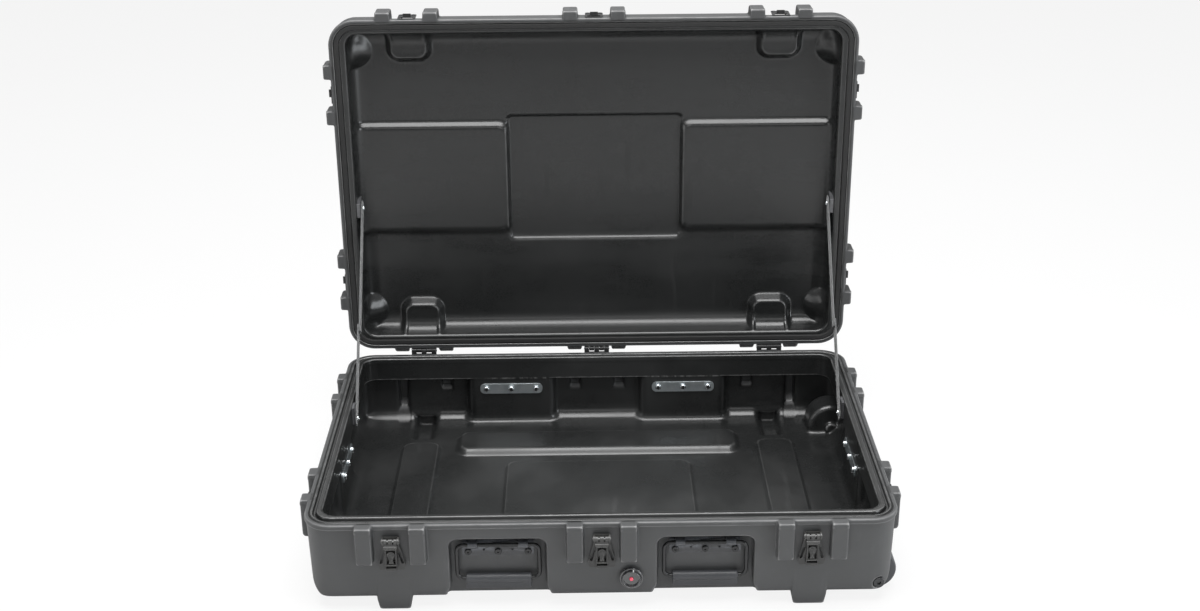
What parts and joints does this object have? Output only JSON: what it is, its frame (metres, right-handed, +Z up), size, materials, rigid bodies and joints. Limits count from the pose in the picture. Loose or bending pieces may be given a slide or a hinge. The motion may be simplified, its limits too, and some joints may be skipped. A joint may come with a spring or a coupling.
{
  "type": "wheeled equipment case",
  "caption": "Low moulded equipment case with a hinged lid held open by straps, swing latches, folding bail handles, corner wheels, moulded feet and a pressure valve.",
  "frame": {"origin": "centre of the base shell's flat underside, at the middle of its length and depth", "axes": "+X along the long side towards the wheeled end, +Y from the latch side towards the hinges, +Z up"},
  "size_m": [0.895, 0.656, 0.756],
  "materials": {
    "shell": "lightly textured satin moulding",
    "gasket": "matt cellular rubber",
    "black_plastic": "satin injection moulding",
    "dark_plastic": "matt moulding",
    "black_steel": "satin black coating",
    "plate_paint": "satin grey coating",
    "zinc": "zinc plated",
    "bright_steel": "bright plated",
    "tyre": "matt",
    "hub": "satin moulding",
    "webbing": "woven webbing",
    "red_plastic": "gloss"
  },
  "bodies": {
    "base": {"base_shell": "shell", "latch_base_plates": "black_plastic", "latch_pivot_pins": "bright_steel", "latch_rivets": "zinc", "handle_mount_plates": "plate_paint", "handle_bolts": "black_steel", "handle_backing_plates": "zinc", "handle_backing_nuts": "bright_steel", "hinge_base_leaves": "black_steel", "hinge_pins": "bright_steel", "hinge_base_screws": "bright_steel", "wheel_axles": "black_steel", "strap_base_brackets": "black_steel", "strap_base_screws": "bright_steel", "valve_body": "black_plastic", "valve_o_ring": "gasket", "valve_lock_nut": "black_plastic"},
    "lid": {"lid_shell": "shell", "lid_gasket": "gasket", "latch_keepers": "black_steel", "keeper_screws": "black_steel", "hinge_lid_leaves": "black_steel", "hinge_lid_screws": "bright_steel", "strap_lid_brackets": "black_steel", "strap_lid_screws": "bright_steel"},
    "latch_front_left": {"latch_arm_front_left": "black_plastic"},
    "trigger_front_left": {"latch_trigger_front_left": "black_plastic"},
    "latch_front_centre": {"latch_arm_front_centre": "black_plastic"},
    "trigger_front_centre": {"latch_trigger_front_centre": "black_plastic"},
    "latch_front_right": {"latch_arm_front_right": "black_plastic"},
    "trigger_front_right": {"latch_trigger_front_right": "black_plastic"},
    "latch_left_front": {"latch_arm_left_front": "black_plastic"},
    "trigger_left_front": {"latch_trigger_left_front": "black_plastic"},
    "latch_left_rear": {"latch_arm_left_rear": "black_plastic"},
    "trigger_left_rear": {"latch_trigger_left_rear": "black_plastic"},
    "latch_right_front": {"latch_arm_right_front": "black_plastic"},
    "trigger_right_front": {"latch_trigger_right_front": "black_plastic"},
    "latch_right_rear": {"latch_arm_right_rear": "black_plastic"},
    "trigger_right_rear": {"latch_trigger_right_rear": "black_plastic"},
    "handle_front_left": {"handle_bail_front_left": "black_steel", "handle_grip_front_left": "dark_plastic"},
    "handle_front_right": {"handle_bail_front_right": "black_steel", "handle_grip_front_right": "dark_plastic"},
    "handle_back_left": {"handle_bail_back_left": "black_steel", "handle_grip_back_left": "dark_plastic"},
    "handle_back_right": {"handle_bail_back_right": "black_steel", "handle_grip_back_right": "dark_plastic"},
    "handle_left_end": {"handle_bail_left_end": "black_steel", "handle_grip_left_end": "dark_plastic"},
    "handle_right_end": {"handle_bail_right_end": "black_steel", "handle_grip_right_end": "dark_plastic"},
    "wheel_front": {"wheel_tyre_front": "tyre", "wheel_hub_front": "hub"},
    "wheel_rear": {"wheel_tyre_rear": "tyre", "wheel_hub_rear": "hub"},
    "strap_lower_left": {"strap_lower_left": "webbing"},
    "strap_upper_left": {"strap_upper_left": "webbing"},
    "strap_lower_right": {"strap_lower_right": "webbing"},
    "strap_upper_right": {"strap_upper_right": "webbing"},
    "valve_button": {"valve_button": "red_plastic"}
  },
  "joints": [
    {"name": "lid_hinge", "type": "hinge", "parent": "base", "child": "lid", "pos_m": [0, 0.299, 0.134], "axis": [1, 0, 0], "range_deg": [0, 90]},
    {"name": "latch_front_left_swing", "type": "hinge", "parent": "base", "child": "latch_front_left", "pos_m": [-0.306, -0.2995, 0.1055], "axis": [-1, 0, 0], "range_deg": [0, 179]},
    {"name": "latch_front_left_trigger", "type": "hinge", "parent": "latch_front_left", "child": "trigger_front_left", "pos_m": [-0.306, -0.3001, 0.0845], "axis": [-1, 0, 0], "range_deg": [0, 10]},
    {"name": "latch_front_centre_swing", "type": "hinge", "parent": "base", "child": "latch_front_centre", "pos_m": [0, -0.2995, 0.1055], "axis": [-1, 0, 0], "range_deg": [0, 179]},
    {"name": "latch_front_centre_trigger", "type": "hinge", "parent": "latch_front_centre", "child": "trigger_front_centre", "pos_m": [0, -0.3001, 0.0845], "axis": [-1, 0, 0], "range_deg": [0, 10]},
    {"name": "latch_front_right_swing", "type": "hinge", "parent": "base", "child": "latch_front_right", "pos_m": [0.306, -0.2995, 0.1055], "axis": [-1, 0, 0], "range_deg": [0, 179]},
    {"name": "latch_front_right_trigger", "type": "hinge", "parent": "latch_front_right", "child": "trigger_front_right", "pos_m": [0.306, -0.3001, 0.0845], "axis": [-1, 0, 0], "range_deg": [0, 10]},
    {"name": "latch_left_front_swing", "type": "hinge", "parent": "base", "child": "latch_left_front", "pos_m": [-0.441, -0.168, 0.1055], "axis": [0, 1, 0], "range_deg": [0, 179]},
    {"name": "latch_left_front_trigger", "type": "hinge", "parent": "latch_left_front", "child": "trigger_left_front", "pos_m": [-0.4416, -0.168, 0.0845], "axis": [0, 1, 0], "range_deg": [0, 10]},
    {"name": "latch_left_rear_swing", "type": "hinge", "parent": "base", "child": "latch_left_rear", "pos_m": [-0.441, 0.168, 0.1055], "axis": [0, 1, 0], "range_deg": [0, 179]},
    {"name": "latch_left_rear_trigger", "type": "hinge", "parent": "latch_left_rear", "child": "trigger_left_rear", "pos_m": [-0.4416, 0.168, 0.0845], "axis": [0, 1, 0], "range_deg": [0, 10]},
    {"name": "latch_right_front_swing", "type": "hinge", "parent": "base", "child": "latch_right_front", "pos_m": [0.441, -0.168, 0.1055], "axis": [0, -1, 0], "range_deg": [0, 179]},
    {"name": "latch_right_front_trigger", "type": "hinge", "parent": "latch_right_front", "child": "trigger_right_front", "pos_m": [0.4416, -0.168, 0.0845], "axis": [0, -1, 0], "range_deg": [0, 10]},
    {"name": "latch_right_rear_swing", "type": "hinge", "parent": "base", "child": "latch_right_rear", "pos_m": [0.441, 0.168, 0.1055], "axis": [0, -1, 0], "range_deg": [0, 179]},
    {"name": "latch_right_rear_trigger", "type": "hinge", "parent": "latch_right_rear", "child": "trigger_right_rear", "pos_m": [0.4416, 0.168, 0.0845], "axis": [0, -1, 0], "range_deg": [0, 10]},
    {"name": "handle_front_left_swing", "type": "hinge", "parent": "base", "child": "handle_front_left", "pos_m": [-0.152, -0.2805, 0.0865], "axis": [-1, 0, 0], "range_deg": [0, 88]},
    {"name": "handle_front_right_swing", "type": "hinge", "parent": "base", "child": "handle_front_right", "pos_m": [0.152, -0.2805, 0.0865], "axis": [-1, 0, 0], "range_deg": [0, 88]},
    {"name": "handle_back_left_swing", "type": "hinge", "parent": "base", "child": "handle_back_left", "pos_m": [-0.152, 0.2805, 0.0865], "axis": [1, 0, 0], "range_deg": [0, 88]},
    {"name": "handle_back_right_swing", "type": "hinge", "parent": "base", "child": "handle_back_right", "pos_m": [0.152, 0.2805, 0.0865], "axis": [1, 0, 0], "range_deg": [0, 88]},
    {"name": "handle_left_end_swing", "type": "hinge", "parent": "base", "child": "handle_left_end", "pos_m": [-0.422, 0, 0.0865], "axis": [0, 1, 0], "range_deg": [0, 88]},
    {"name": "handle_right_end_swing", "type": "hinge", "parent": "base", "child": "handle_right_end", "pos_m": [0.422, 0, 0.0865], "axis": [0, -1, 0], "range_deg": [0, 88]},
    {"name": "wheel_front_spin", "type": "hinge", "parent": "base", "child": "wheel_front", "pos_m": [0.4095, -0.235, 0.016], "axis": [0, 1, 0], "continuous": true},
    {"name": "wheel_rear_spin", "type": "hinge", "parent": "base", "child": "wheel_rear", "pos_m": [0.4095, 0.235, 0.016], "axis": [0, 1, 0], "continuous": true},
    {"name": "strap_lower_left_fold", "type": "hinge", "parent": "base", "child": "strap_lower_left", "pos_m": [-0.4025, 0.096, 0.104], "axis": [1, 0, 0], "range_deg": [-47, 0]},
    {"name": "strap_upper_left_fold", "type": "hinge", "parent": "lid", "child": "strap_upper_left", "pos_m": [-0.4002, 0.315, 0.396], "axis": [1, 0, 0], "range_deg": [0, 30]},
    {"name": "strap_lower_right_fold", "type": "hinge", "parent": "base", "child": "strap_lower_right", "pos_m": [0.4025, 0.096, 0.104], "axis": [1, 0, 0], "range_deg": [-47, 0]},
    {"name": "strap_upper_right_fold", "type": "hinge", "parent": "lid", "child": "strap_upper_right", "pos_m": [0.4002, 0.315, 0.396], "axis": [1, 0, 0], "range_deg": [0, 30]},
    {"name": "valve_press", "type": "slide", "parent": "base", "child": "valve_button", "axis": [0, 1, 0], "range_m": [0, 0.002]}
  ],
  "couplings": [
    {"joint": "strap_lower_left_fold", "follows": "lid_hinge", "ratio": -0.51372},
    {"joint": "strap_upper_left_fold", "follows": "lid_hinge", "ratio": 0.32646},
    {"joint": "strap_lower_right_fold", "follows": "lid_hinge", "ratio": -0.51372},
    {"joint": "strap_upper_right_fold", "follows": "lid_hinge", "ratio": 0.32646}
  ]
}
